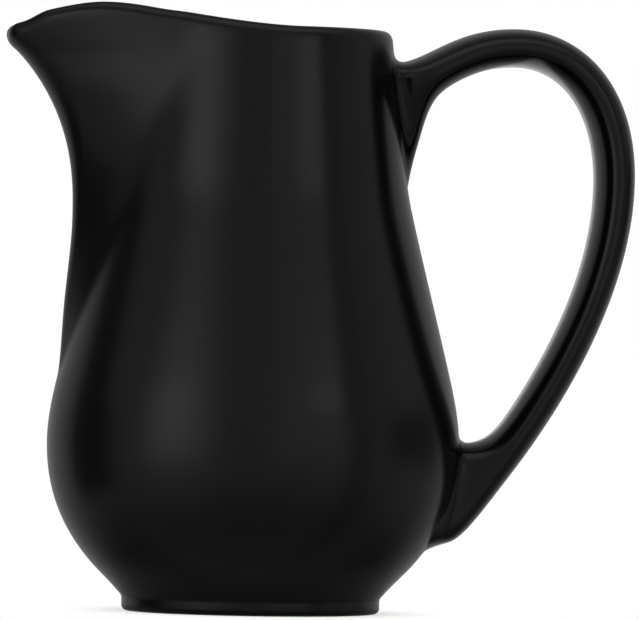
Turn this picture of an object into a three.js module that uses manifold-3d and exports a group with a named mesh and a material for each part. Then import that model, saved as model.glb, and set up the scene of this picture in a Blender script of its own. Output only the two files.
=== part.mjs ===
// A slip-cast stoneware milk jug: a pear-shaped body drawn out into a long beaked spout, and a strap handle that
// is stuck to it with clay slip at two roots. Millimetres, +Z up, spout towards -X, handle towards +X.
import * as THREE from "three";
import { mergeVertices } from "three/addons/utils/BufferGeometryUtils.js";
import Module from "manifold-3d";

const wasm = await Module();
wasm.setup();

// Foot: the ring that the jug stands on, and the hollow inside it
const FOOT_RADIUS = 24.2;
const FOOT_HEIGHT = 2.7;
const FOOT_EDGE_ROUND = 1.1;
const FOOT_RING_WIDTH = 2.4;
const BASE_RECESS = 1.6;

// Body: outside radius at a height, and its slope there as radius gained per height
const INSTEP = { height: FOOT_HEIGHT + 0.4, radius: FOOT_RADIUS + 0.4, slope: 0.72 };
const LOWER_FLANK = { height: 9, radius: 30.1, slope: 0.88 };
const BELLY = { height: 31.5, radius: 38.65, slope: 0 };
const SHOULDER = { height: 48, radius: 35.85, slope: -0.245 };
const NECK = { height: 75, radius: 29.15, slope: -0.235 };
const COLLAR = { height: 84, radius: 27.6, slope: -0.125 };
const MOUTH = { height: 108, radius: 24.85, slope: -0.11 };
const WALL = 3.4;
const FLOOR_FILLET_START = 6;

// Rim: where the wall ends and its rounded edge begins, and how far the lip lifts it at an angle in degrees from
// the middle of the spout, with its slope per degree
const RIM_HEIGHT = 107.3;
const LIP_TIP = { angle: 0, lift: -2.2, slope: 0 };
const LIP_CHEEK = { angle: 8.9, lift: 0, slope: 0.31 };
const LIP_RISE = { angle: 14.1, lift: 2.15, slope: 0.22 };
const LIP_CREST = { angle: 26, lift: 3.68, slope: 0 };
const LIP_FALL = { angle: 46.5, lift: 2.35, slope: -0.046 };
const LIP_END = { angle: 105, lift: 0, slope: 0 };
const RIM_EDGE_HEIGHT = 2.1;
const LIP_THICKNESS = 2.7;
const LIP_THIN_ANGLE = 34;
const LIP_THIN_HEIGHT = 30;

// Spout: how far its keel stands proud of the body at a height, the radius of its round nose and of its gently
// rounded flanks, how near its cheeks come to the body's own circle as a share of that circle's radius, and how
// softly the two meet in a crease
const KEEL_SUNK = { height: 30, proud: -2.2, slope: 0.2 };
const KEEL_ROOT = { height: 43, proud: -0.1, slope: 0.12 };
const KEEL_LOW = { height: 58, proud: 2.55, slope: 0.17 };
const KEEL_WAIST = { height: 74, proud: 5.3, slope: 0.235 };
const KEEL_THROAT = { height: 90, proud: 9.95, slope: 0.46 };
const KEEL_LIP = { height: 103, proud: 18.9, slope: 0.98 };
const KEEL_TIP = { height: 107, proud: 23.6, slope: 1.14 };
const NOSE_ROOT = { height: 55, radius: 6, slope: 0 };
const NOSE_WAIST = { height: 80, radius: 6.8, slope: 0.14 };
const NOSE_THROAT = { height: 96, radius: 10.8, slope: 0.08 };
const NOSE_TIP = { height: 108, radius: 7.5, slope: -0.3 };
const FLANK_LOW = { height: 60, radius: 80, slope: 0 };
const FLANK_HIGH = { height: 105, radius: 180, slope: 0 };
const CHEEK_ROOT = { height: 50, share: 0.955, slope: 0.0006 };
const CHEEK_WAIST = { height: 80, share: 0.971, slope: 0 };
const CHEEK_THROAT = { height: 96, share: 0.956, slope: 0 };
const CHEEK_LIP = { height: 108, share: 0.965, slope: 0.001 };
const CREASE_ROOT = { height: 55, blend: 0.5, slope: 0.01 };
const CREASE_LIP = { height: 107, blend: 1.6, slope: 0.01 };
const SHARPEST_CREASE = 0.3;

// Handle: a strap of flattened oval section, thickest where it turns down, with its thickness at a share of its
// own length
const STRAP_WIDTH = 19;
const STRAP_CREST = { share: 0.17, thickness: 7.2, slope: 0 };
const STRAP_BEND = { share: 0.38, thickness: 7.4, slope: 0 };
const STRAP_TAIL = { share: 0.66, thickness: 6.9, slope: 0 };
const STRAP_SECTION_POWER = 2.2;

// Handle's loop: its middle line, placed from the rim, the belly and the wall that it leaves and meets again
const UPPER_ROOT_DROP = 7.5;
const UPPER_ROOT_LEAN = 6.3;
const UPPER_ROOT_EASE = 8.3;
const CREST_ABOVE_RIM = 3;
const CREST_FROM_WALL = 22.7;
const CREST_EASE = 11.2;
const LOOP_EASE_OVER = 0.55;
const LOOP_EASE_DOWN = 0.64;
const REACH_PAST_BELLY = 32.5;
const REACH_DROP = 25.3;
const REACH_EASE = 20.2;
const TAIL_HEIGHT = 28;
const TAIL_FROM_WALL = 6.8;
const TAIL_LEAN = 53;
const TAIL_EASE = 17;
const HEEL_BEND = 7.3;
const HEEL_REACH = 1.7;
const HEEL_HEIGHT = 16.7;
const ROOT_DEPTH = 2;

// Handle's roots: how far the strap's inner side spreads down the neck and up the belly, over what length of
// strap, how suddenly, and how much narrower that spread part is
const TONGUE = { length: 14.7, over: 2.9, power: 1.3, taper: 0.5 };
const HEEL = { length: 18, over: 13.1, power: 3, taper: 0.15 };

// Slip joints: pads of slip that fill the joint and are smoothed out into a fillet on the body
const SLIP_THICKNESS = 1.6;
const FILLET_HEIGHT = 2.6;
const FILLET_REACH = 2.2;
const GAP = 0.3;

// Facets
const COLUMNS = 72;
const WALL_ROWS = 23;
const RIM_ROWS = 4;
const INSIDE_ROWS = 15;
const FLOOR_ROWS = 3;
const STRAP_SIDES = 24;
const FILLET_ROWS = 4;
const ROOT_ROWS = [0, 1.1, 2.4, 4, 6, 8.6, 11.6];
const LOOP_ROWS = 21;

const BLACK_GLAZE = { color: 0x161616, roughness: 0.38, metalness: 0 };

const BODY_PROFILE = [INSTEP, LOWER_FLANK, BELLY, SHOULDER, NECK, COLLAR, MOUTH];
const KEEL_PROFILE = [KEEL_SUNK, KEEL_ROOT, KEEL_LOW, KEEL_WAIST, KEEL_THROAT, KEEL_LIP, KEEL_TIP];
const NOSE_PROFILE = [NOSE_ROOT, NOSE_WAIST, NOSE_THROAT, NOSE_TIP];
const CHEEK_PROFILE = [CHEEK_ROOT, CHEEK_WAIST, CHEEK_THROAT, CHEEK_LIP];
const LIP_PROFILE = [LIP_TIP, LIP_CHEEK, LIP_RISE, LIP_CREST, LIP_FALL, LIP_END];
const STRAP_PROFILE = [STRAP_CREST, STRAP_BEND, STRAP_TAIL];

const { degToRad, radToDeg, lerp, clamp, smoothstep } = THREE.MathUtils;

// A smooth curve through stations that each give a value and a slope, straight beyond the first and the last.
function curveThrough(stations, at, value, x) {
  const first = stations[0];
  const last = stations[stations.length - 1];
  if (x <= first[at]) {
    return first[value] + first.slope * (x - first[at]);
  }
  if (x >= last[at]) {
    return last[value] + last.slope * (x - last[at]);
  }
  const next = stations.findIndex((station) => station[at] > x);
  const a = stations[next - 1];
  const b = stations[next];
  const span = b[at] - a[at];
  const t = (x - a[at]) / span;
  const bow = span * t * (1 - t) * (a.slope * (1 - t) - b.slope * t);
  return lerp(a[value], b[value], t * t * (3 - 2 * t)) + bow;
}

const bodyRadius = (z) => curveThrough(BODY_PROFILE, "height", "radius", z);
const keelReach = (z) => bodyRadius(z) + curveThrough(KEEL_PROFILE, "height", "proud", z);
const noseRadius = (z) => curveThrough(NOSE_PROFILE, "height", "radius", z);
const flankRadius = (z) => curveThrough([FLANK_LOW, FLANK_HIGH], "height", "radius", z);
const cheekShare = (z) => curveThrough(CHEEK_PROFILE, "height", "share", z);
const creaseBlend = (z) => Math.max(SHARPEST_CREASE, curveThrough([CREASE_ROOT, CREASE_LIP], "height", "blend", z));
const wallEnd = (angle) => RIM_HEIGHT + curveThrough(LIP_PROFILE, "angle", "lift", radToDeg(Math.abs(angle)));

// The larger of two lengths, rounded where they are nearly equal.
function smoothMax(a, b, blend) {
  const near = Math.max(blend - Math.abs(a - b), 0) / blend;
  return Math.max(a, b) + (near ** 3 * blend) / 6;
}

// Radius of the spout's own outline at a height, at an angle from its keel. It is an egg: the arc of the nose runs
// into the long arc of a flank, which comes nearest to the body's axis at the cheek and goes no farther round.
function spoutRadius(angle, z) {
  const reach = keelReach(z);
  const nose = Math.min(noseRadius(z), reach / 2);
  const flank = flankRadius(z);
  const cheek = Math.min(cheekShare(z) * bodyRadius(z), reach);
  const noseCentre = reach - nose;
  const toAxis = flank - cheek;
  const toNose = flank - nose;
  const forward = (toAxis ** 2 - toNose ** 2 + noseCentre ** 2) / (2 * noseCentre);
  const aside = Math.sqrt(Math.max(toAxis ** 2 - forward ** 2, 0));
  const turn = Math.abs(angle);
  const noseEnd = Math.atan2((nose * aside) / toNose, noseCentre + (nose * (noseCentre - forward)) / toNose);
  if (turn <= noseEnd) {
    return noseCentre * Math.cos(turn) + Math.sqrt(nose ** 2 - (noseCentre * Math.sin(turn)) ** 2);
  }
  const stop = Math.min(turn, Math.atan2(aside, -forward));
  const offset = forward * Math.cos(stop) - aside * Math.sin(stop);
  return offset + Math.sqrt(flank ** 2 - toAxis ** 2 + offset ** 2);
}

// A point on the outside of the body, at an angle from the spout's keel and a height.
function outsidePoint(angle, z) {
  const radius = smoothMax(bodyRadius(z), spoutRadius(angle, z), creaseBlend(z));
  return new THREE.Vector3(-radius * Math.cos(angle), radius * Math.sin(angle), z);
}

// The way up along the outside and the way straight out from it, at an angle and a height.
function outsideFrame(angle, z) {
  const rise = 0.02;
  const turn = 0.001;
  const up = outsidePoint(angle, z + rise).sub(outsidePoint(angle, z - rise)).normalize();
  const round = outsidePoint(angle + turn, z).sub(outsidePoint(angle - turn, z)).normalize();
  return { up, out: round.clone().cross(up).negate().normalize() };
}

// Wall thickness, which falls towards the pouring lip.
function wallThickness(angle, z) {
  const byAngle = 1 - smoothstep(radToDeg(Math.abs(angle)), 0, LIP_THIN_ANGLE);
  const lipHeight = RIM_HEIGHT + LIP_TIP.lift;
  const byHeight = smoothstep(z, lipHeight - LIP_THIN_HEIGHT, lipHeight);
  return lerp(WALL, LIP_THICKNESS, byAngle * byHeight);
}

// A point off the outside by a distance, or inside it where the distance is negative.
function offsetPoint(angle, z, distance) {
  return outsidePoint(angle, z).addScaledVector(outsideFrame(angle, z).out, distance);
}

const insidePoint = (angle, z) => offsetPoint(angle, z, -wallThickness(angle, z));

// A closed surface over rings of points, each ring the same length, with a single point at each end.
function closedSurface(first, rings, last) {
  const sides = rings[0].length;
  const points = [first, ...rings.flat(), last];
  const index = [];
  const at = (ring, side) => 1 + ring * sides + (side % sides);
  for (let side = 0; side < sides; side++) {
    index.push(0, at(0, side), at(0, side + 1));
    for (let ring = 0; ring + 1 < rings.length; ring++) {
      index.push(at(ring, side), at(ring + 1, side + 1), at(ring, side + 1));
      index.push(at(ring, side), at(ring + 1, side), at(ring + 1, side + 1));
    }
    index.push(points.length - 1, at(rings.length - 1, side + 1), at(rings.length - 1, side));
  }
  return new THREE.BufferGeometry().setFromPoints(points).setIndex(index);
}

// The solid inside a closed surface, for joining and cutting.
function toSolid(geometry) {
  const bare = geometry.clone();
  bare.deleteAttribute("normal");
  bare.deleteAttribute("uv");
  const merged = mergeVertices(bare, 1e-5);
  return new wasm.Manifold(
    new wasm.Mesh({
      numProp: 3,
      vertProperties: merged.getAttribute("position").array,
      triVerts: new Uint32Array(merged.index.array),
    }),
  );
}

function toGeometry(solid) {
  const mesh = solid.getMesh();
  const geometry = new THREE.BufferGeometry();
  geometry.setAttribute("position", new THREE.BufferAttribute(mesh.vertProperties, 3));
  geometry.setIndex(new THREE.BufferAttribute(mesh.triVerts, 1));
  return geometry;
}

// Angles of the columns round the body, close together at the spout and wider apart at the handle.
const columns = Array.from({ length: COLUMNS }, (_, column) => {
  const evenShare = 0.27;
  const crowding = 2.1;
  const u = (2 * column) / COLUMNS - 1;
  return Math.PI * (evenShare * u + (1 - evenShare) * Math.sign(u) * Math.abs(u) ** crowding);
});

const ringOf = (pointAt) => columns.map((angle) => pointAt(angle));
const circle = (radius, z) => ringOf((a) => new THREE.Vector3(-radius * Math.cos(a), radius * Math.sin(a), z));
const onAxis = (z) => new THREE.Vector3(0, 0, z);
const rowHeight = (angle, row) => lerp(INSTEP.height, wallEnd(angle), row / (WALL_ROWS - 1));

// Rings of the outside from the instep to the rim, at a distance off the body's own surface.
function wallRings(distance) {
  return Array.from({ length: WALL_ROWS }, (_, row) =>
    ringOf((angle) => offsetPoint(angle, rowHeight(angle, row), distance)),
  );
}

// The underside from the base's recess out over the foot ring.
function footRings() {
  const ringInside = FOOT_RADIUS - FOOT_EDGE_ROUND - FOOT_RING_WIDTH;
  const edge = [0, 30, 60, 90].map((degrees) => {
    const a = degToRad(degrees);
    const radius = FOOT_RADIUS - FOOT_EDGE_ROUND * (1 - Math.sin(a));
    return circle(radius, FOOT_EDGE_ROUND * (1 - Math.cos(a)));
  });
  const recess = circle(ringInside - BASE_RECESS, BASE_RECESS);
  return [recess, circle(ringInside, 0), ...edge, circle(FOOT_RADIUS, FOOT_HEIGHT)];
}

// The rounded edge over the top of the wall.
function rimRings() {
  return Array.from({ length: RIM_ROWS }, (_, row) => {
    const turn = (Math.PI * (row + 1)) / (RIM_ROWS + 1);
    return ringOf((angle) => {
      const z = wallEnd(angle);
      const half = wallThickness(angle, z) / 2;
      const { up } = outsideFrame(angle, z);
      return offsetPoint(angle, z, half * (Math.cos(turn) - 1)).addScaledVector(up, RIM_EDGE_HEIGHT * Math.sin(turn));
    });
  });
}

// The inside from the rim down the wall, round a fillet and onto the floor.
function insideRings(floor) {
  const wall = Array.from({ length: INSIDE_ROWS }, (_, row) =>
    ringOf((angle) => insidePoint(angle, lerp(wallEnd(angle), FLOOR_FILLET_START, row / (INSIDE_ROWS - 1)))),
  );
  const start = insidePoint(Math.PI, FLOOR_FILLET_START);
  const below = insidePoint(Math.PI, FLOOR_FILLET_START - 1);
  const corner = start.x - ((start.x - below.x) * (start.z - floor)) / (start.z - below.z);
  const fillet = new THREE.QuadraticBezierCurve3(
    start,
    new THREE.Vector3(corner, 0, floor),
    new THREE.Vector3(2 * corner - start.x, 0, floor),
  );
  const rings = fillet.getPoints(FLOOR_ROWS).slice(1).map((point) => circle(point.x, point.z));
  return [...wall, ...rings];
}

function bodyGeometry() {
  const floor = BASE_RECESS + WALL;
  const rings = [...footRings(), ...wallRings(0), ...rimRings(), ...insideRings(floor)];
  return closedSurface(onAxis(BASE_RECESS), rings, onAxis(floor));
}

// The body grown by a distance and filled in, for cutting what seats on it.
function grownBody(distance) {
  return toSolid(closedSurface(onAxis(0), wallRings(distance), onAxis(RIM_HEIGHT)));
}

// The handle's middle line, from inside the wall at the neck, over the loop, to inside the wall at the belly.
function handlePath() {
  const at = (x, z) => new THREE.Vector3(x, 0, z);
  const towards = (point, degrees, length) => {
    const a = degToRad(degrees);
    return at(point.x + length * Math.cos(a), point.z + length * Math.sin(a));
  };
  const rootHeight = RIM_HEIGHT - UPPER_ROOT_DROP;
  const root = at(bodyRadius(rootHeight), rootHeight);
  const crest = at(root.x + CREST_FROM_WALL, RIM_HEIGHT + CREST_ABOVE_RIM - STRAP_CREST.thickness / 2);
  const side = at(BELLY.radius + REACH_PAST_BELLY - STRAP_BEND.thickness / 2, RIM_HEIGHT - REACH_DROP);
  const tail = at(bodyRadius(TAIL_HEIGHT) + TAIL_FROM_WALL, TAIL_HEIGHT);
  const heel = at(bodyRadius(HEEL_HEIGHT), HEEL_HEIGHT);
  const path = new THREE.CurvePath();
  const over = (a, b, c, d) => path.add(new THREE.CubicBezierCurve3(a, b, c, d));
  path.add(new THREE.LineCurve3(towards(root, UPPER_ROOT_LEAN, -ROOT_DEPTH), root));
  over(root, towards(root, UPPER_ROOT_LEAN, UPPER_ROOT_EASE), at(crest.x - CREST_EASE, crest.z), crest);
  over(
    crest,
    at(lerp(crest.x, side.x, LOOP_EASE_OVER), crest.z),
    at(side.x, lerp(side.z, crest.z, LOOP_EASE_DOWN)),
    side,
  );
  over(side, at(side.x, side.z - REACH_EASE), towards(tail, TAIL_LEAN, TAIL_EASE), tail);
  over(tail, towards(tail, TAIL_LEAN, -HEEL_BEND), at(heel.x + HEEL_REACH, heel.z), heel);
  path.add(new THREE.LineCurve3(heel, at(heel.x - ROOT_DEPTH, heel.z)));
  return path;
}

const path = handlePath();
const pathLength = path.getLength();

// How far a root's spread has grown at a distance along the strap from its wall, from 0 to 1.
const spreadAt = (root, distance) => Math.exp(-((Math.max(distance, 0) / root.over) ** root.power));
const squarish = (v) => Math.sign(v) * Math.abs(v) ** (2 / STRAP_SECTION_POWER);

// A point on the strap's skin, at a distance along its middle line and a turn round its section: a turn of 0 is
// the outer edge of the loop and half a turn is the inner edge, which the roots draw out along the wall.
function strapPoint(along, turn) {
  const share = clamp(along / pathLength, 0, 1);
  const tangent = path.getTangentAt(share);
  const outward = new THREE.Vector3(-tangent.z, 0, tangent.x);
  const tongue = spreadAt(TONGUE, along - ROOT_DEPTH);
  const heel = spreadAt(HEEL, pathLength - ROOT_DEPTH - along);
  const across = squarish(Math.cos(turn));
  const spread = TONGUE.length * tongue + HEEL.length * heel;
  const half = curveThrough(STRAP_PROFILE, "share", "thickness", share) / 2 + (across < 0 ? spread : 0);
  const narrowing = ((TONGUE.taper * tongue + HEEL.taper * heel) * (1 - across)) / 2;
  const sideways = squarish(Math.sin(turn)) * (STRAP_WIDTH / 2) * (1 - narrowing);
  return path.getPointAt(share).addScaledVector(outward, across * half).setY(sideways);
}

// How far a point is off the outside of the body, and the way straight out from it there.
function offBody(point) {
  const angle = Math.atan2(point.y, -point.x);
  const { out } = outsideFrame(angle, point.z);
  return { distance: point.clone().sub(outsidePoint(angle, point.z)).dot(out), out };
}

const ROOT_SEARCH = 26;
const UPPER_END = { buried: 0, free: ROOT_SEARCH };
const LOWER_END = { buried: pathLength, free: pathLength - ROOT_SEARCH };

// How far along the strap the skin comes down to a height off the body, towards one end.
function alongAt(turn, height, end) {
  let { free, buried } = end;
  for (let halving = 0; halving < 30; halving++) {
    const middle = (free + buried) / 2;
    if (offBody(strapPoint(middle, turn)).distance > height) {
      free = middle;
    } else {
      buried = middle;
    }
  }
  return free;
}

// The points of one line down a root's fillet, which leaves the strap along its skin and lies down on the body.
function filletLine(turn, end) {
  const nearby = 0.02;
  const cornerAt = (t) => strapPoint(alongAt(t, 0, end), t);
  const corner = cornerAt(turn);
  const top = strapPoint(alongAt(turn, FILLET_HEIGHT, end), turn);
  const outline = cornerAt(turn + nearby).sub(cornerAt(turn - nearby));
  const spread = outline.cross(offBody(corner).out).normalize();
  if (end === UPPER_END) {
    spread.negate();
  }
  const toe = corner.clone().addScaledVector(spread, FILLET_REACH);
  const { distance, out } = offBody(toe);
  toe.addScaledVector(out, -distance);
  const points = new THREE.QuadraticBezierCurve3(top, corner, toe).getPoints(FILLET_ROWS);
  return [...points, toe.clone().addScaledVector(out, -WALL / 2)];
}

// One line along the whole handle: up one fillet, round the loop and down the other.
function handleLine(turn) {
  const start = alongAt(turn, FILLET_HEIGHT, UPPER_END);
  const finish = alongAt(turn, FILLET_HEIGHT, LOWER_END);
  const rootRun = ROOT_ROWS[ROOT_ROWS.length - 1];
  const loop = Array.from({ length: LOOP_ROWS }, (_, row) =>
    lerp(start + rootRun, finish - rootRun, (row + 1) / (LOOP_ROWS + 1)),
  );
  const upper = ROOT_ROWS.slice(1).map((run) => start + run);
  const lower = ROOT_ROWS.slice(1).reverse().map((run) => finish - run);
  const skin = [...upper, ...loop, ...lower].map((along) => strapPoint(along, turn));
  return [...filletLine(turn, UPPER_END).reverse(), ...skin, ...filletLine(turn, LOWER_END)];
}

function middleOf(ring) {
  return ring.reduce((sum, point) => sum.add(point), new THREE.Vector3()).divideScalar(ring.length);
}

function handleWithRoots() {
  const turns = Array.from({ length: STRAP_SIDES }, (_, side) => (2 * Math.PI * side) / STRAP_SIDES);
  const lines = turns.map(handleLine);
  const rings = lines[0].map((_, row) => lines.map((line) => line[row]));
  return toSolid(closedSurface(middleOf(rings[0]), rings, middleOf(rings[rings.length - 1])));
}

// Everything above or below the middle of the loop.
function halfSpace(side) {
  const size = 4 * RIM_HEIGHT;
  return toSolid(new THREE.BoxGeometry(size, size, size).translate(0, 0, RIM_HEIGHT / 2 + (side * size) / 2));
}

const handle = handleWithRoots();
const slip = handle.intersect(grownBody(SLIP_THICKNESS)).subtract(grownBody(GAP));

const assembly = new THREE.Group();

function addPiece(name, geometry) {
  geometry.computeVertexNormals();
  const piece = new THREE.Mesh(geometry, new THREE.MeshStandardMaterial(BLACK_GLAZE));
  piece.name = name;
  assembly.add(piece);
}

addPiece("body", bodyGeometry());
addPiece("handle", toGeometry(handle.subtract(grownBody(SLIP_THICKNESS + GAP))));
addPiece("upper_slip_joint", toGeometry(slip.intersect(halfSpace(1))));
addPiece("lower_slip_joint", toGeometry(slip.intersect(halfSpace(-1))));

// The origin is on the table, under the middle of the jug's overall length.
const bounds = new THREE.Box3().setFromObject(assembly);
assembly.position.x = -(bounds.min.x + bounds.max.x) / 2;

const jug = new THREE.Group();
jug.add(assembly);

export default jug;
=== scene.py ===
"""The milk jug's looks: fine meshes of its pieces, black glaze, bare clay under the foot, and a studio."""
import math

import bpy
import numpy as np
from mathutils import Matrix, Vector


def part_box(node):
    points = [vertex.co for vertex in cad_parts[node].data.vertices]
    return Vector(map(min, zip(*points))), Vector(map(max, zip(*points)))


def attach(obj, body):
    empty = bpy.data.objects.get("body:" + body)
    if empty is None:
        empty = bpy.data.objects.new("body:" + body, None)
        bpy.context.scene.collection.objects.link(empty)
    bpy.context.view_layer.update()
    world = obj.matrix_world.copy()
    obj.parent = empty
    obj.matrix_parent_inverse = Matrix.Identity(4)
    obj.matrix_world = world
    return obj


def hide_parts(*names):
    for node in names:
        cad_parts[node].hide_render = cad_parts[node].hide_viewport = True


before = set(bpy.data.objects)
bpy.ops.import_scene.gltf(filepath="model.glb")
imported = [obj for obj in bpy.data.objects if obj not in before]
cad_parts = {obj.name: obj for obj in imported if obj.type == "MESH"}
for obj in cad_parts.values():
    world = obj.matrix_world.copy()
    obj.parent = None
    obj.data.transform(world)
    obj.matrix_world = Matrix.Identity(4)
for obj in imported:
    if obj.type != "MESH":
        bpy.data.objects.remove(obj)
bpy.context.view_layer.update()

MM = 0.001

# Foot: the ring that the jug stands on, and the hollow inside it, in millimetres as all sizes of the jug are
FOOT_RADIUS = 24.2
FOOT_HEIGHT = 2.7
FOOT_EDGE_ROUND = 1.1
FOOT_RING_WIDTH = 2.4
BASE_RECESS = 1.6
FOOT_CORNER_ROUND = 0.45
INSTEP_CORNER_LIFT = 0.1
INSTEP_ROUND = 0.54

# Body: height, outside radius and slope at each station
BODY_PROFILE = [
    (3.1, 24.6, 0.72),
    (9, 30.1, 0.88),
    (31.5, 38.65, 0),
    (48, 35.85, -0.245),
    (75, 29.15, -0.235),
    (84, 27.6, -0.125),
    (108, 24.85, -0.11),
]
PROFILE_START = BODY_PROFILE[0][0] + 1
BELLY_RADIUS = BODY_PROFILE[2][1]
WALL = 3.4
FLOOR_FILLET_START = 6

# Rim: where its rounded edge begins, and the lip's lift at an angle in degrees from the spout's middle
RIM_HEIGHT = 107.3
LIP_PROFILE = [
    (0, -2.2, 0),
    (8.9, 0, 0.31),
    (14.1, 2.15, 0.22),
    (26, 3.68, 0),
    (46.5, 2.35, -0.046),
    (105, 0, 0),
    (180, 0, 0),
]
RIM_EDGE_HEIGHT = 2.1
LIP_THICKNESS = 2.7
LIP_THIN_ANGLE = 34
LIP_THIN_HEIGHT = 30

# Spout by height: keel past the body, nose and flank radius, cheeks as a share of the body, and crease width
KEEL_PROFILE = [
    (30, -2.2, 0.2),
    (43, -0.1, 0.12),
    (58, 2.55, 0.17),
    (74, 5.3, 0.235),
    (90, 9.95, 0.46),
    (103, 18.9, 0.98),
    (107, 23.6, 1.14),
]
NOSE_PROFILE = [(55, 6, 0), (80, 6.8, 0.14), (96, 10.8, 0.08), (108, 7.5, -0.3)]
FLANK_PROFILE = [(60, 80, 0), (105, 180, 0)]
CHEEK_PROFILE = [(50, 0.955, 0.0006), (80, 0.971, 0), (96, 0.956, 0), (108, 0.965, 0.001)]
CREASE_PROFILE = [(55, 0.5, 0.01), (107, 1.6, 0.01)]
SHARPEST_CREASE = 0.3

# Handle: strap section, with its thickness at a share of its length
STRAP_WIDTH = 19
STRAP_PROFILE = [(0.17, 7.2, 0), (0.38, 7.4, 0), (0.66, 6.9, 0)]
CREST_THICKNESS = STRAP_PROFILE[0][1]
BEND_THICKNESS = STRAP_PROFILE[1][1]
STRAP_SECTION_POWER = 2.2

# Handle's loop: its middle line
UPPER_ROOT_DROP = 7.5
UPPER_ROOT_LEAN = 6.3
UPPER_ROOT_EASE = 8.3
CREST_ABOVE_RIM = 3
CREST_FROM_WALL = 22.7
CREST_EASE = 11.2
LOOP_EASE_OVER = 0.55
LOOP_EASE_DOWN = 0.64
REACH_PAST_BELLY = 32.5
REACH_DROP = 25.3
REACH_EASE = 20.2
TAIL_HEIGHT = 28
TAIL_FROM_WALL = 6.8
TAIL_LEAN = 53
TAIL_EASE = 17
HEEL_BEND = 7.3
HEEL_REACH = 1.7
HEEL_HEIGHT = 16.7
ROOT_DEPTH = 2

# Handle's roots: length, over, power and taper of the spread along the wall
TONGUE = (14.7, 2.9, 1.3, 0.5)
HEEL = (18, 13.1, 3, 0.15)
FILLET_HEIGHT = 2.6
FILLET_REACH = 2.2
SLIP_TOP = 1.75
LEAST_STEEPNESS = 0.6
ROOT_SEARCH = 26
SEARCH_HALVINGS = 40

# Mesh fineness of the body, with the underside's and the floor's middle rings as shares of a radius
COLUMNS = 240
WALL_ROWS = 120
RIM_ROWS = 14
INSIDE_ROWS = 70
FOOT_EDGE_ROWS = 6
FLOOR_FILLET_ROWS = 8
UNDERSIDE_RING = 0.6
FLOOR_RINGS = (0.75, 0.5, 0.25)

# Mesh fineness of the handle, whose rings crowd together over a run of millimetres at each root
MIDDLE_LINE_POINTS = 500
STRAP_SIDES = 72
FILLET_ROWS = 10
ROOT_ROWS = 26
ROOT_RUN = 12
ROOT_CROWDING = 1.4
LOOP_ROWS = 110

# Glaze: colours of its mottle, and its noises' scales per metre
GLAZE_COLOURS = ((0.0014, 0.0014, 0.0016, 1), (0.0026, 0.0025, 0.0026, 1))
GLAZE_IOR = 1.5
GLAZE_SPECULAR = 0.22
BROAD_SCALE = 45
MOTTLE_SCALE = 420
MOTTLE_ROUGHNESS = 0.6
PEEL_SCALE = 900
FINE_DETAIL = 3.0

# Glaze: its roughness by the broad noise and by the mottle, and the height of its ripple
BROAD_GLOSS = (0.18, 0.22)
MOTTLE_GLOSS = (-0.015, 0.025)
RIPPLE_HEIGHT = 0.01 * MM
BROAD_RIPPLE = 6.0
PEEL_RIPPLE = 0.35

# Bare clay: its colours, its grain, and how high up the foot it is wiped
CLAY_COLOURS = ((0.34, 0.3, 0.24, 1), (0.52, 0.47, 0.4, 1))
CLAY_ROUGHNESS = 0.85
GRAIN_SCALE = 2600
GRAIN_ROUGHNESS = 0.7
WIPED_SCALE = 160
WIPED_TO = (0.04 * MM, 0.16 * MM)
GLAZE_EDGE = 0.08 * MM

# Camera, read from the photograph: turned towards the spout, with the size that a pixel covers at the jug
CAMERA_DISTANCE = 1.5
CAMERA_HEIGHT = 0.052
CAMERA_TURN = math.radians(6)
PIXEL_SIZE = 0.1875 * MM
CAMERA_ROLL = math.radians(1)
PHOTO_SIZE = (639, 620)
LOOKS_AT_PIXEL = (318.2, 335.8)
SENSOR_WIDTH = 0.036


def curve_through(stations, x):
    """A smooth curve through (x, value, slope) stations, straight beyond the first and the last."""
    table = np.array(stations, float)
    x = np.asarray(x, float)
    last = len(table) - 2
    k = np.clip(np.searchsorted(table[:, 0], x, side="right") - 1, 0, last)
    start, value, slope = np.moveaxis(table[k], -1, 0)
    end, next_value, next_slope = np.moveaxis(table[k + 1], -1, 0)
    span = end - start
    t = np.clip((x - start) / span, 0, 1)
    rise = t * t * (3 - 2 * t)
    bow = span * t * (1 - t) * (slope * (1 - t) - next_slope * t)
    before = table[0, 2] * np.minimum(x - table[0, 0], 0)
    beyond = table[-1, 2] * np.maximum(x - table[-1, 0], 0)
    return value + (next_value - value) * rise + bow + before + beyond


def smoothstep(x, low, high):
    t = np.clip((x - low) / (high - low), 0, 1)
    return t * t * (3 - 2 * t)


def unit(vectors):
    return vectors / np.linalg.norm(vectors, axis=-1, keepdims=True)


def body_radius(z):
    return curve_through(BODY_PROFILE, z)


def wall_end(angle):
    return RIM_HEIGHT + curve_through(LIP_PROFILE, np.degrees(np.abs(angle)))


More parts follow.
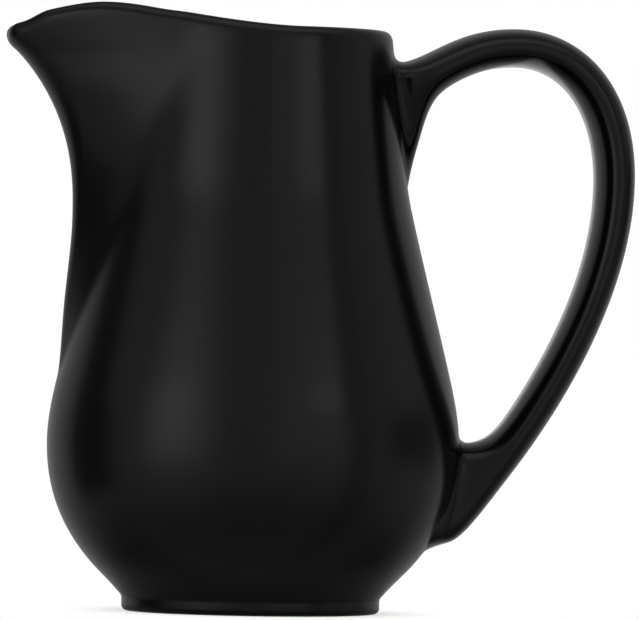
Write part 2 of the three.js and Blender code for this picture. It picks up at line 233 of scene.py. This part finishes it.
def spout_radius(angle, z):
    """Radius of the spout's own outline, an egg: the arc of the nose runs into the long arc of a flank."""
    reach = body_radius(z) + curve_through(KEEL_PROFILE, z)
    nose = np.minimum(curve_through(NOSE_PROFILE, z), reach / 2)
    flank = curve_through(FLANK_PROFILE, z)
    cheek = np.minimum(curve_through(CHEEK_PROFILE, z) * body_radius(z), reach)
    nose_centre = reach - nose
    to_axis = flank - cheek
    to_nose = flank - nose
    forward = (to_axis**2 - to_nose**2 + nose_centre**2) / (2 * nose_centre)
    aside = np.sqrt(np.maximum(to_axis**2 - forward**2, 0))
    turn = np.abs(angle)
    nose_end = np.arctan2(nose * aside / to_nose, nose_centre + nose * (nose_centre - forward) / to_nose)
    on_nose = nose_centre * np.cos(turn) + np.sqrt(np.maximum(nose**2 - (nose_centre * np.sin(turn)) ** 2, 0))
    stop = np.minimum(turn, np.arctan2(aside, -forward))
    offset = forward * np.cos(stop) - aside * np.sin(stop)
    on_flank = offset + np.sqrt(flank**2 - to_axis**2 + offset**2)
    return np.where(turn <= nose_end, on_nose, on_flank)


def outside_point(angle, z):
    """A point on the outside of the body, at an angle from the spout's keel and a height."""
    angle, z = np.broadcast_arrays(np.asarray(angle, float), np.asarray(z, float))
    blend = np.maximum(SHARPEST_CREASE, curve_through(CREASE_PROFILE, z))
    body = body_radius(z)
    spout = spout_radius(angle, z)
    near = np.maximum(blend - np.abs(body - spout), 0) / blend
    radius = np.maximum(body, spout) + near**3 * blend / 6
    return np.stack([-radius * np.cos(angle), radius * np.sin(angle), z], -1)


def outside_frame(angle, z):
    """The way up along the outside and the way straight out from it."""
    rise = 0.02
    turn = 0.001
    up = unit(outside_point(angle, z + rise) - outside_point(angle, z - rise))
    around = unit(outside_point(angle + turn, z) - outside_point(angle - turn, z))
    return up, unit(np.cross(up, around))


def wall_thickness(angle, z):
    """Wall thickness, which falls towards the pouring lip."""
    by_angle = 1 - smoothstep(np.degrees(np.abs(angle)), 0, LIP_THIN_ANGLE)
    lip_height = RIM_HEIGHT + LIP_PROFILE[0][1]
    by_height = smoothstep(z, lip_height - LIP_THIN_HEIGHT, lip_height)
    return WALL + (LIP_THICKNESS - WALL) * by_angle * by_height


def offset_point(angle, z, distance):
    _, out = outside_frame(angle, z)
    return outside_point(angle, z) + out * np.asarray(distance)[..., None]


def inside_point(angle, z):
    return offset_point(angle, z, -wall_thickness(angle, z))


def body_columns():
    """Angles of the columns round the body, close together at the spout."""
    even_share = 0.3
    crowding = 2.1
    u = 2 * np.arange(COLUMNS) / COLUMNS - 1
    return np.pi * (even_share * u + (1 - even_share) * np.sign(u) * np.abs(u) ** crowding)


ANGLES = body_columns()


def rings_of(profile):
    """Circles round the axis through (radius, height) points."""
    points = np.asarray(profile, float)
    radius = points[:, :1]
    height = np.repeat(points[:, 1:], COLUMNS, axis=1)
    return np.stack([-radius * np.cos(ANGLES), radius * np.sin(ANGLES), height], -1)


def rounded(corners, radius, steps=5):
    """A profile through corners, each inner one rounded by a curve that begins a radius before it."""
    points = [np.array(corners[0], float)]
    for before, corner, after in zip(corners, corners[1:], corners[2:]):
        before, corner, after = (np.array(p, float) for p in (before, corner, after))
        start = corner + unit(before - corner) * radius
        end = corner + unit(after - corner) * radius
        for t in np.linspace(0, 1, steps):
            points.append((1 - t) ** 2 * start + 2 * t * (1 - t) * corner + t * t * end)
    points.append(np.array(corners[-1], float))
    return points


def foot_rings():
    """The underside from the base's recess out over the foot ring and up to the instep."""
    ring_inside = FOOT_RADIUS - FOOT_EDGE_ROUND - FOOT_RING_WIDTH
    recess_edge = ring_inside - BASE_RECESS
    corners = [
        (recess_edge * UNDERSIDE_RING, BASE_RECESS),
        (recess_edge, BASE_RECESS),
        (ring_inside, 0),
        (FOOT_RADIUS - FOOT_EDGE_ROUND, 0),
    ]
    edge = [
        (FOOT_RADIUS - FOOT_EDGE_ROUND * (1 - math.sin(a)), FOOT_EDGE_ROUND * (1 - math.cos(a)))
        for a in np.linspace(0, math.pi / 2, FOOT_EDGE_ROWS + 1)[1:]
    ]
    instep = (FOOT_RADIUS, FOOT_HEIGHT + INSTEP_CORNER_LIFT)
    above = (float(body_radius(PROFILE_START)), PROFILE_START)
    side = rounded([edge[-1], instep, above], INSTEP_ROUND)[1:-1]
    return rings_of(rounded(corners, FOOT_CORNER_ROUND) + edge + side)


def outer_rings():
    """The outside from just above the instep to the rim."""
    share = np.linspace(0, 1, WALL_ROWS)[:, None]
    heights = PROFILE_START + (wall_end(ANGLES) - PROFILE_START) * share
    return outside_point(ANGLES, heights)


def rim_rings():
    """The rounded edge over the top of the wall."""
    turn = (np.pi * np.arange(1, RIM_ROWS + 1) / (RIM_ROWS + 1))[:, None]
    z = wall_end(ANGLES)
    up, out = outside_frame(ANGLES, z)
    half = wall_thickness(ANGLES, z) / 2
    across = half * (np.cos(turn) - 1)
    lift = RIM_EDGE_HEIGHT * np.sin(turn)
    return outside_point(ANGLES, z) + out * across[..., None] + up * lift[..., None]


def inner_rings():
    """The inside from the rim down the wall, round a fillet and onto the floor."""
    floor = BASE_RECESS + WALL
    share = np.linspace(0, 1, INSIDE_ROWS)[:, None]
    top = wall_end(ANGLES)
    wall = inside_point(ANGLES, top + (FLOOR_FILLET_START - top) * share)
    start = inside_point(np.pi, FLOOR_FILLET_START)
    below = inside_point(np.pi, FLOOR_FILLET_START - 1)
    corner = start[0] - (start[0] - below[0]) * (start[2] - floor) / (start[2] - below[2])
    fillet = []
    for t in np.linspace(0, 1, FLOOR_FILLET_ROWS + 1)[1:]:
        radius = (1 - t) ** 2 * start[0] + 2 * t * (1 - t) * corner + t * t * (2 * corner - start[0])
        height = (1 - t) ** 2 * start[2] + (1 - (1 - t) ** 2) * floor
        fillet.append((radius, height))
    flat = [(fillet[-1][0] * share, floor) for share in FLOOR_RINGS]
    return np.concatenate([wall, rings_of(fillet + flat)])


class Strap:
    """The handle's strap along its middle line, from inside the neck's wall to inside the belly's."""

    def __init__(self):
        self.middle, self.length_at = self.middle_line()
        self.length = self.length_at[-1]
        self.tangent = unit(np.gradient(self.middle, self.length_at, axis=0))

    @staticmethod
    def middle_line():
        def towards(point, degrees, length):
            a = math.radians(degrees)
            return point + length * np.array([math.cos(a), math.sin(a)])

        root_height = RIM_HEIGHT - UPPER_ROOT_DROP
        root = np.array([body_radius(root_height), root_height])
        crest = np.array([root[0] + CREST_FROM_WALL, RIM_HEIGHT + CREST_ABOVE_RIM - CREST_THICKNESS / 2])
        side = np.array([BELLY_RADIUS + REACH_PAST_BELLY - BEND_THICKNESS / 2, RIM_HEIGHT - REACH_DROP])
        tail = np.array([body_radius(TAIL_HEIGHT) + TAIL_FROM_WALL, TAIL_HEIGHT])
        heel = np.array([body_radius(HEEL_HEIGHT), HEEL_HEIGHT])
        t = np.linspace(0, 1, MIDDLE_LINE_POINTS)[:, None]

        def line(a, b):
            return a + (b - a) * t

        def curve(a, b, c, d):
            return (1 - t) ** 3 * a + 3 * t * (1 - t) ** 2 * b + 3 * t * t * (1 - t) * c + t**3 * d

        over_x = crest[0] + (side[0] - crest[0]) * LOOP_EASE_OVER
        down_z = side[1] + (crest[1] - side[1]) * LOOP_EASE_DOWN
        pieces = [
            line(towards(root, UPPER_ROOT_LEAN, -ROOT_DEPTH), root),
            curve(root, towards(root, UPPER_ROOT_LEAN, UPPER_ROOT_EASE), crest - [CREST_EASE, 0], crest),
            curve(crest, np.array([over_x, crest[1]]), np.array([side[0], down_z]), side),
            curve(side, side - [0, REACH_EASE], towards(tail, TAIL_LEAN, TAIL_EASE), tail),
            curve(tail, towards(tail, TAIL_LEAN, -HEEL_BEND), heel + [HEEL_REACH, 0], heel),
            line(heel, heel - [ROOT_DEPTH, 0]),
        ]
        points = np.concatenate([pieces[0]] + [piece[1:] for piece in pieces[1:]])
        steps = np.linalg.norm(np.diff(points, axis=0), axis=1)
        return points, np.concatenate([[0], np.cumsum(steps)])

    def point(self, along, turn):
        """A point on the strap's skin. A turn of 0 is the loop's outer edge, and half a turn its inner."""
        along, turn = np.broadcast_arrays(np.asarray(along, float), np.asarray(turn, float))
        at = np.clip(along, 0, self.length)
        centre = np.stack([np.interp(at, self.length_at, self.middle[:, i]) for i in (0, 1)], -1)
        tangent = np.stack([np.interp(at, self.length_at, self.tangent[:, i]) for i in (0, 1)], -1)
        tongue_length, tongue_over, tongue_power, tongue_taper = TONGUE
        heel_length, heel_over, heel_power, heel_taper = HEEL
        from_neck = np.maximum(along - ROOT_DEPTH, 0)
        from_belly = np.maximum(self.length - ROOT_DEPTH - along, 0)
        tongue = np.exp(-((from_neck / tongue_over) ** tongue_power))
        heel = np.exp(-((from_belly / heel_over) ** heel_power))
        across = self.squarish(np.cos(turn))
        spread = np.where(across < 0, tongue_length * tongue + heel_length * heel, 0)
        half = curve_through(STRAP_PROFILE, at / self.length) / 2 + spread
        narrowing = (tongue_taper * tongue + heel_taper * heel) * (1 - across) / 2
        sideways = self.squarish(np.sin(turn)) * STRAP_WIDTH / 2 * (1 - narrowing)
        x = centre[..., 0] - tangent[..., 1] * across * half
        z = centre[..., 1] + tangent[..., 0] * across * half
        return np.stack([x, sideways, z], -1)

    @staticmethod
    def squarish(v):
        return np.sign(v) * np.abs(v) ** (2 / STRAP_SECTION_POWER)


def off_body(points):
    """How far points are off the outside of the body, and the way straight out from it there."""
    angle = np.arctan2(points[..., 1], -points[..., 0])
    _, out = outside_frame(angle, points[..., 2])
    distance = ((points - outside_point(angle, points[..., 2])) * out).sum(-1)
    return distance, out


def along_at(strap, turn, height, upper):
    """How far along the strap its skin comes down to a height off the body, at one end."""
    buried = np.full(turn.shape, 0.0 if upper else strap.length)
    free = np.full(turn.shape, ROOT_SEARCH if upper else strap.length - ROOT_SEARCH)
    for _ in range(SEARCH_HALVINGS):
        middle = (free + buried) / 2
        distance, _ = off_body(strap.point(middle, turn))
        free = np.where(distance > height, middle, free)
        buried = np.where(distance > height, buried, middle)
    return free


def fillet_rings(strap, turn, upper, heights):
    """Rings down a root's fillet, at shares of the way from the strap's skin to the fillet's toe on the body.

    The fillet leaves the skin in the skin's own direction and aims at where that direction comes to the body.
    """
    nearby = 0.02

    def corner_at(t):
        return strap.point(along_at(strap, t, 0, upper), t)

    corner = corner_at(turn)
    start = along_at(strap, turn, FILLET_HEIGHT, upper)
    top = strap.point(start, turn)
    _, out = off_body(corner)
    away = unit(strap.point(start + (nearby if upper else -nearby), turn) - top)
    steepness = np.maximum((away * out).sum(-1), LEAST_STEEPNESS)
    aim = top - away * (FILLET_HEIGHT / steepness)[..., None]
    outline = corner_at(turn + nearby) - corner_at(turn - nearby)
    spread = unit(np.cross(outline, out)) * (-1 if upper else 1)
    toe = corner + spread * FILLET_REACH
    distance, out = off_body(toe)
    toe = toe - out * distance[..., None]
    rings = [(1 - t) ** 2 * top + 2 * t * (1 - t) * aim + t * t * toe for t in heights]
    return rings, toe - out * (WALL / 2)


def handle_rings():
    """Rings of the handle from the upper slip joint to the lower one, and how many belong to each joint."""
    strap = Strap()
    turn = 2 * np.pi * np.arange(STRAP_SIDES) / STRAP_SIDES
    split = 1 - math.sqrt(SLIP_TOP / FILLET_HEIGHT)
    shares = np.concatenate([[0, split / 2], np.linspace(split, 1, FILLET_ROWS)])
    upper, upper_sunk = fillet_rings(strap, turn, True, shares)
    lower, lower_sunk = fillet_rings(strap, turn, False, shares)
    start = along_at(strap, turn, FILLET_HEIGHT, True)
    finish = along_at(strap, turn, FILLET_HEIGHT, False)
    root = ROOT_RUN * (np.arange(1, ROOT_ROWS + 1) / ROOT_ROWS) ** ROOT_CROWDING
    share = np.linspace(0, 1, LOOP_ROWS + 2)[1:-1, None]
    loop = start + ROOT_RUN + (finish - start - 2 * ROOT_RUN) * share
    skin = np.concatenate([start + root[:, None], loop, finish - root[::-1, None]])
    rings = [upper_sunk] + upper[::-1] + list(strap.point(skin, turn)) + lower + [lower_sunk]
    return np.array(rings), FILLET_ROWS + 1


AXIS_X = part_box("body")[1].x - BELLY_RADIUS * MM


def grid_faces(rows, sides):
    """Quads between rings, wound to face outwards as the rings run."""
    row, side = np.meshgrid(np.arange(rows - 1), np.arange(sides), indexing="ij")
    after = (side + 1) % sides
    corners = [row * sides + side, (row + 1) * sides + side, (row + 1) * sides + after, row * sides + after]
    return np.stack(corners, -1).reshape(-1, 4).tolist()


def make_piece(name, rings, material, normals=None):
    """A mesh over rings of points in millimetres, closed at both ends, smooth all over."""
    rows, sides = rings.shape[:2]
    ends = np.stack([rings[0].mean(0), rings[-1].mean(0)])
    points = np.concatenate([rings.reshape(-1, 3), ends]) * MM + [AXIS_X, 0, 0]
    first, last = rows * sides, rows * sides + 1
    faces = grid_faces(rows, sides)
    top = (rows - 1) * sides
    faces += [[first, side, (side + 1) % sides] for side in range(sides)]
    faces += [[last, top + (side + 1) % sides, top + side] for side in range(sides)]
    mesh = bpy.data.meshes.new(name)
    mesh.from_pydata(points.tolist(), [], faces)
    mesh.materials.append(material)
    mesh.polygons.foreach_set("use_smooth", [True] * len(mesh.polygons))
    mesh.update()
    piece = bpy.data.objects.new(name, mesh)
    bpy.context.scene.collection.objects.link(piece)
    if normals is not None:
        vertex_normals = np.concatenate([normals.reshape(-1, 3), [[0, 0, 1], [0, 0, 1]]])
        mesh.normals_split_custom_set_from_vertices(vertex_normals.tolist())
    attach(piece, "root")
    return piece


def ring_normals(rings):
    """Outward normals of a grid of rings, the same on both sides of any ring it is later cut at.

    The ring beside either end is a fillet's toe on the body, so the sunk end ring has no part in its normals.
    """
    along = np.gradient(rings, axis=0)
    along[1] = rings[2] - rings[1]
    along[-2] = rings[-2] - rings[-3]
    around = np.roll(rings, -1, axis=1) - np.roll(rings, 1, axis=1)
    return unit(np.cross(along, around))


class Nodes:
    """Builds a node tree a node at a time."""

    def __init__(self, tree):
        self.tree = tree
        tree.nodes.clear()

    def add(self, kind, inputs=None, **settings):
        node = self.tree.nodes.new(kind)
        for key, value in settings.items():
            setattr(node, key, value)
        for key, value in (inputs or {}).items():
            if isinstance(value, bpy.types.NodeSocket):
                self.tree.links.new(value, node.inputs[key])
            else:
                node.inputs[key].default_value = value
        return node

    def math(self, operation, a, b=0.0, clamp=False):
        return self.add("ShaderNodeMath", {0: a, 1: b}, operation=operation, use_clamp=clamp).outputs[0]

    def noise(self, vector, scale, detail=2.0, roughness=0.5):
        inputs = {"Vector": vector, "Scale": scale, "Detail": detail, "Roughness": roughness}
        return self.add("ShaderNodeTexNoise", inputs).outputs["Fac"]

    def ramp(self, value, low, high, from_low=0.0, from_high=1.0):
        inputs = {"Value": value, "From Min": from_low, "From Max": from_high, "To Min": low, "To Max": high}
        return self.add("ShaderNodeMapRange", inputs).outputs["Result"]

    def mix(self, share, a, b):
        return self.add("ShaderNodeMix", {"Factor": share, 6: a, 7: b}, data_type="RGBA").outputs[2]


def new_material(name):
    material = bpy.data.materials.new(name)
    material.use_nodes = True
    return material, Nodes(material.node_tree)


def satin_black_glaze():
    """Satin black glaze over pale stoneware, with a wiped, bare foot."""
    material, nodes = new_material("satin_black_glaze")
    place = nodes.add("ShaderNodeTexCoord").outputs["Object"]
    height = nodes.add("ShaderNodeSeparateXYZ", {"Vector": place}).outputs["Z"]
    broad = nodes.noise(place, BROAD_SCALE)
    mottle = nodes.noise(place, MOTTLE_SCALE, FINE_DETAIL, MOTTLE_ROUGHNESS)
    peel = nodes.noise(place, PEEL_SCALE)
    glaze = nodes.mix(mottle, *GLAZE_COLOURS)
    grain = nodes.noise(place, GRAIN_SCALE, FINE_DETAIL, GRAIN_ROUGHNESS)
    clay = nodes.mix(grain, *CLAY_COLOURS)
    wiped_to = nodes.ramp(nodes.noise(place, WIPED_SCALE), *WIPED_TO)
    above = nodes.math("SUBTRACT", height, wiped_to)
    glazed = nodes.ramp(above, 0.0, 1.0, 0.0, GLAZE_EDGE)
    colour = nodes.mix(glazed, clay, glaze)
    gloss = nodes.math("ADD", nodes.ramp(broad, *BROAD_GLOSS), nodes.ramp(mottle, *MOTTLE_GLOSS))
    roughness = nodes.add("ShaderNodeMix", {"Factor": glazed, 2: CLAY_ROUGHNESS, 3: gloss}).outputs[0]
    swell = nodes.math("MULTIPLY", broad, BROAD_RIPPLE)
    ripple = nodes.math("ADD", swell, nodes.math("MULTIPLY", peel, PEEL_RIPPLE))
    bump = nodes.add("ShaderNodeBump", {"Strength": 1.0, "Distance": RIPPLE_HEIGHT, "Height": ripple})
    shader = nodes.add("ShaderNodeBsdfPrincipled")
    shader.inputs["IOR"].default_value = GLAZE_IOR
    shader.inputs["Specular IOR Level"].default_value = GLAZE_SPECULAR
    nodes.tree.links.new(colour, shader.inputs["Base Color"])
    nodes.tree.links.new(roughness, shader.inputs["Roughness"])
    nodes.tree.links.new(bump.outputs["Normal"], shader.inputs["Normal"])
    nodes.add("ShaderNodeOutputMaterial", {"Surface": shader.outputs[0]})
    return material


def build_jug():
    glaze = satin_black_glaze()
    body_rings = np.concatenate([foot_rings(), outer_rings(), rim_rings(), inner_rings()])
    body = make_piece("glazed_body", body_rings, glaze)
    rings, joint_rows = handle_rings()
    normals = ring_normals(rings)
    last = len(rings) - joint_rows
    spans = {
        "upper_slip_fillet": slice(0, joint_rows),
        "glazed_handle": slice(joint_rows - 1, last + 1),
        "lower_slip_fillet": slice(last, len(rings)),
    }
    pieces = {name: make_piece(name, rings[span], glaze, normals[span]) for name, span in spans.items()}
    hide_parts("body")
    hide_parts("upper_slip_joint")
    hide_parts("handle")
    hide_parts("lower_slip_joint")


# Light tent, in degrees round from the camera's side towards the handle and in degrees up, where 1 is white
WORLD_STRENGTH = 0.6
TENT_RADIUS = 0.45
TENT_GAP_BEHIND = 10
TENT_GAP_TOP = 8
TENT_BOTTOM = -89
TENT_TOP = 89
TENT_COLUMN_STEP = 2
TENT_ROW_STEP = 3

# Tent's cloth behind, in front and on the right, darker towards the floor, and the light overhead
CLOTH_BEHIND = 0.36
CLOTH_IN_FRONT = 0.55
FRONT_CLOTH = (-86, 54)
FRONT_SOFTNESS = (30, 4)
CLOTH_ON_RIGHT = 0.49
RIGHT_CLOTH = (67, 103)
RIGHT_CLOTH_SOFTNESS = (6, 12)
LOW_CLOTH = 0.52
LOW_CLOTH_HEIGHTS = (-50, -6)
BACK_SHADE = 0.65
BACK_SHADE_FROM = (70, 135)
BACK_SHADE_HEIGHTS = (-50, -25)
OVERHEAD_IN_FRONT = 1.2
OVERHEAD_BEHIND = 0.28
OVERHEAD_FADES = (60, 120)
OVERHEAD_FROM = (38, 60)

# Softboxes: each glows over a span of azimuths, with a brighter spot above, and both fade towards the floor
LEFT_SOFTBOX = (-57, -27)
LEFT_SOFTBOX_SOFTNESS = (26, 34)
LEFT_SOFTBOX_GLOW = 1.18
LEFT_SOFTBOX_TOP = (16, 36)
LEFT_SOFTBOX_SLANT = 7
SLANT_HEIGHTS = (14, 23)
RIGHT_SOFTBOX = (10, 52)
RIGHT_SOFTBOX_SOFTNESS = (18, 4)
RIGHT_SOFTBOX_GLOW = (0.2, 0.36)
RIGHT_SOFTBOX_TOP = (22, 38)
SOFTBOX_FADE_HEIGHTS = (-50, -34, -20, -12, -2, 6)
SOFTBOX_FADE = (0, 0.09, 0.17, 0.45, 0.9, 1)
LEFT_HOT_SPOT = (-60, -36)
LEFT_HOT_SPOT_SOFTNESS = (12, 20)
LEFT_HOT_SPOT_GLOW = 0.55
RIGHT_HOT_SPOT = (32, 51)
RIGHT_HOT_SPOT_SOFTNESS = (16, 4)
RIGHT_HOT_SPOT_GLOW = 0.8
HOT_SPOT_HEIGHTS = (15.5, 21)
HOT_SPOT_HEIGHT_SOFTNESS = (3, 4)

# Flags: black boards, a tall one on the left and a low one on the right
FLAG_RADIANCE = 0.07
LEFT_FLAG = (-118, -92)
LEFT_FLAG_SOFTNESS = (14, 14)
LEFT_FLAG_LEAN = 10
LEFT_FLAG_LEAN_HEIGHTS = (6, 16)
LEFT_FLAG_HEIGHTS = (-22, 90)
LEFT_FLAG_HEIGHT_SOFTNESS = (9, 7)
RIGHT_FLAG = (82, 122)
RIGHT_FLAG_SOFTNESS = (16, 16)
RIGHT_FLAG_COVER = 0.75
RIGHT_FLAG_HEIGHTS = (-9, 9)
RIGHT_FLAG_HEIGHT_SOFTNESS = (15, 8)

# Floor: a pale disc that keeps the jug's shadow and fades out into the white background
FLOOR_COLOUR = 0.8
FLOOR_FADES_FROM = 0.02
FLOOR_RADIUS = 0.038
FLOOR_SIDES = 96
FLOOR_LIFT = 0.6


def seen_directly(nodes):
    """1 for camera, glossy and transmission rays, which see a white background, and 0 for all others."""
    path = nodes.add("ShaderNodeLightPath").outputs
    either = nodes.math("ADD", path["Is Camera Ray"], path["Is Glossy Ray"], clamp=True)
    return nodes.math("ADD", either, path["Is Transmission Ray"], clamp=True)


def white_world():
    world = bpy.data.worlds.new("studio")
    bpy.context.scene.world = world
    world.use_nodes = True
    nodes = Nodes(world.node_tree)
    strength = nodes.ramp(seen_directly(nodes), WORLD_STRENGTH, 1.0)
    background = nodes.add("ShaderNodeBackground", {"Color": (1, 1, 1, 1), "Strength": strength})
    nodes.add("ShaderNodeOutputWorld", {"Surface": background.outputs[0]})


def stage_mesh(name, points, faces, material):
    mesh = bpy.data.meshes.new(name)
    mesh.from_pydata([tuple(p) for p in points], [], faces)
    mesh.materials.append(material)
    piece = bpy.data.objects.new(name, mesh)
    bpy.context.scene.collection.objects.link(piece)
    return piece


def pale_floor():
    """A pale disc under the jug, lifted towards white where the camera sees it."""
    material, nodes = new_material("pale_floor")
    place = nodes.add("ShaderNodeTexCoord").outputs["Object"]
    away = nodes.add("ShaderNodeVectorMath", {0: place}, operation="LENGTH").outputs["Value"]
    gone = nodes.add(
        "ShaderNodeMapRange",
        {"Value": away, "From Min": FLOOR_FADES_FROM, "From Max": FLOOR_RADIUS},
        interpolation_type="SMOOTHSTEP",
    ).outputs["Result"]
    lit = nodes.add("ShaderNodeBsdfDiffuse", {"Color": (FLOOR_COLOUR, FLOOR_COLOUR, FLOOR_COLOUR, 1)})
    lift = nodes.math("MULTIPLY", nodes.add("ShaderNodeLightPath").outputs["Is Camera Ray"], FLOOR_LIFT)
    glow = nodes.add("ShaderNodeEmission", {"Color": (1, 1, 1, 1), "Strength": lift})
    pale = nodes.add("ShaderNodeAddShader", {0: lit.outputs[0], 1: glow.outputs[0]})
    clear = nodes.add("ShaderNodeBsdfTransparent")
    shader = nodes.add("ShaderNodeMixShader", {0: gone, 1: pale.outputs[0], 2: clear.outputs[0]})
    nodes.add("ShaderNodeOutputMaterial", {"Surface": shader.outputs[0]})
    turns = np.linspace(0, 2 * np.pi, FLOOR_SIDES + 1)[:-1]
    points = [(FLOOR_RADIUS * math.cos(a), FLOOR_RADIUS * math.sin(a), 0) for a in turns]
    floor = stage_mesh("floor", points, [tuple(range(len(points)))], material)
    floor.location.x = AXIS_X


def window(x, span, softness):
    """1 within a span and 0 outside it. The edge at each end is centred there and as wide as its softness."""
    rise = smoothstep(x, span[0] - softness[0] / 2, span[0] + softness[0] / 2)
    fall = smoothstep(x, span[1] - softness[1] / 2, span[1] + softness[1] / 2)
    return rise * (1 - fall)


def cloth_radiance(azimuth, elevation):
    cloth = CLOTH_BEHIND + (CLOTH_IN_FRONT - CLOTH_BEHIND) * window(azimuth, FRONT_CLOTH, FRONT_SOFTNESS)
    cloth = cloth + (CLOTH_ON_RIGHT - CLOTH_BEHIND) * window(azimuth, RIGHT_CLOTH, RIGHT_CLOTH_SOFTNESS)
    cloth = cloth * (LOW_CLOTH + (1 - LOW_CLOTH) * smoothstep(elevation, *LOW_CLOTH_HEIGHTS))
    low = 1 - smoothstep(elevation, *BACK_SHADE_HEIGHTS)
    return cloth * (1 - BACK_SHADE * low * smoothstep(np.abs(azimuth), *BACK_SHADE_FROM))


def softbox_glow(azimuth, elevation):
    slant = LEFT_SOFTBOX_SLANT * smoothstep(elevation, *SLANT_HEIGHTS)
    span = (LEFT_SOFTBOX[0] + slant, LEFT_SOFTBOX[1])
    left = LEFT_SOFTBOX_GLOW * window(azimuth, span, LEFT_SOFTBOX_SOFTNESS)
    left = left * (1 - smoothstep(elevation, *LEFT_SOFTBOX_TOP))
    right = np.interp(azimuth, RIGHT_SOFTBOX, RIGHT_SOFTBOX_GLOW)
    right = right * window(azimuth, RIGHT_SOFTBOX, RIGHT_SOFTBOX_SOFTNESS)
    right = right * (1 - smoothstep(elevation, *RIGHT_SOFTBOX_TOP))
    hot = LEFT_HOT_SPOT_GLOW * window(azimuth, LEFT_HOT_SPOT, LEFT_HOT_SPOT_SOFTNESS)
    hot = hot + RIGHT_HOT_SPOT_GLOW * window(azimuth, RIGHT_HOT_SPOT, RIGHT_HOT_SPOT_SOFTNESS)
    hot = hot * window(elevation, HOT_SPOT_HEIGHTS, HOT_SPOT_HEIGHT_SOFTNESS)
    return (left + right) * np.interp(elevation, SOFTBOX_FADE_HEIGHTS, SOFTBOX_FADE) + hot


def flag_cover(azimuth, elevation):
    lean = LEFT_FLAG_LEAN * (1 - smoothstep(elevation, *LEFT_FLAG_LEAN_HEIGHTS))
    span = (LEFT_FLAG[0], LEFT_FLAG[1] + lean)
    softness = (LEFT_FLAG_SOFTNESS[0], LEFT_FLAG_SOFTNESS[1] + lean)
    left = window(azimuth, span, softness)
    left = left * window(elevation, LEFT_FLAG_HEIGHTS, LEFT_FLAG_HEIGHT_SOFTNESS)
    right = RIGHT_FLAG_COVER * window(azimuth, RIGHT_FLAG, RIGHT_FLAG_SOFTNESS)
    right = right * window(elevation, RIGHT_FLAG_HEIGHTS, RIGHT_FLAG_HEIGHT_SOFTNESS)
    return left + right


def tent_radiance(azimuth, elevation):
    """How bright the tent is, with softboxes in front, light overhead and a black flag on either side."""
    level = cloth_radiance(azimuth, elevation) + softbox_glow(azimuth, elevation)
    level = level + (FLAG_RADIANCE - level) * flag_cover(azimuth, elevation)
    overhead = np.interp(np.abs(azimuth), OVERHEAD_FADES, (OVERHEAD_IN_FRONT, OVERHEAD_BEHIND))
    return level + (overhead - level) * smoothstep(elevation, *OVERHEAD_FROM)


def light_tent():
    """The tent, which the camera looks straight through. The background shows in a low gap behind the jug."""
    material, nodes = new_material("light_tent")
    radiance = nodes.add("ShaderNodeAttribute", attribute_name="radiance").outputs["Fac"]
    glow = nodes.add("ShaderNodeEmission", {"Color": (1, 1, 1, 1), "Strength": radiance})
    nodes.add("ShaderNodeOutputMaterial", {"Surface": glow.outputs[0]})
    columns = np.arange(-180, 181, TENT_COLUMN_STEP)
    rows = np.append(np.arange(TENT_BOTTOM, TENT_TOP, TENT_ROW_STEP), TENT_TOP)
    azimuth, elevation = np.radians(np.meshgrid(columns, rows))
    azimuth = azimuth - CAMERA_TURN
    level = np.cos(elevation)
    points = np.stack([np.sin(azimuth) * level, -np.cos(azimuth) * level, np.sin(elevation)], -1)
    points = points * TENT_RADIUS + [AXIS_X, 0, CAMERA_HEIGHT]
    row, column = np.mgrid[: len(rows) - 1, : len(columns) - 1]
    corner = row * len(columns) + column
    quads = np.stack([corner, corner + 1, corner + len(columns) + 1, corner + len(columns)], -1)
    middle = columns[column] + TENT_COLUMN_STEP / 2
    cloth = (np.abs(middle) < 180 - TENT_GAP_BEHIND) | (rows[row] > TENT_GAP_TOP)
    tent = stage_mesh("light_tent", points.reshape(-1, 3), quads[cloth].tolist(), material)
    values = tent.data.attributes.new("radiance", "FLOAT", "POINT")
    values.data.foreach_set("value", tent_radiance(*np.meshgrid(columns, rows)).ravel())
    tent.visible_camera = False


def studio():
    white_world()
    pale_floor()
    light_tent()


def camera():
    data = bpy.data.cameras.new("camera")
    eye = bpy.data.objects.new("camera", data)
    bpy.context.scene.collection.objects.link(eye)
    data.sensor_width = SENSOR_WIDTH / MM
    data.lens = data.sensor_width * CAMERA_DISTANCE / (PHOTO_SIZE[0] * PIXEL_SIZE)
    data.shift_x = (PHOTO_SIZE[0] / 2 - LOOKS_AT_PIXEL[0]) / PHOTO_SIZE[0]
    data.shift_y = (LOOKS_AT_PIXEL[1] - PHOTO_SIZE[1] / 2) / PHOTO_SIZE[0]
    cos, sin = math.cos(CAMERA_ROLL), math.sin(CAMERA_ROLL)
    square_on = Matrix(
        [
            [cos, -sin, 0, -AXIS_X],
            [0, 0, -1, -CAMERA_DISTANCE],
            [sin, cos, 0, CAMERA_HEIGHT],
            [0, 0, 0, 1],
        ]
    )
    turned = Matrix.Rotation(-CAMERA_TURN, 4, "Z")
    eye.matrix_world = Matrix.Translation((AXIS_X, 0, 0)) @ turned @ square_on
    bpy.context.scene.camera = eye


build_jug()
studio()
camera()
bpy.context.scene.view_settings.view_transform = "Standard"
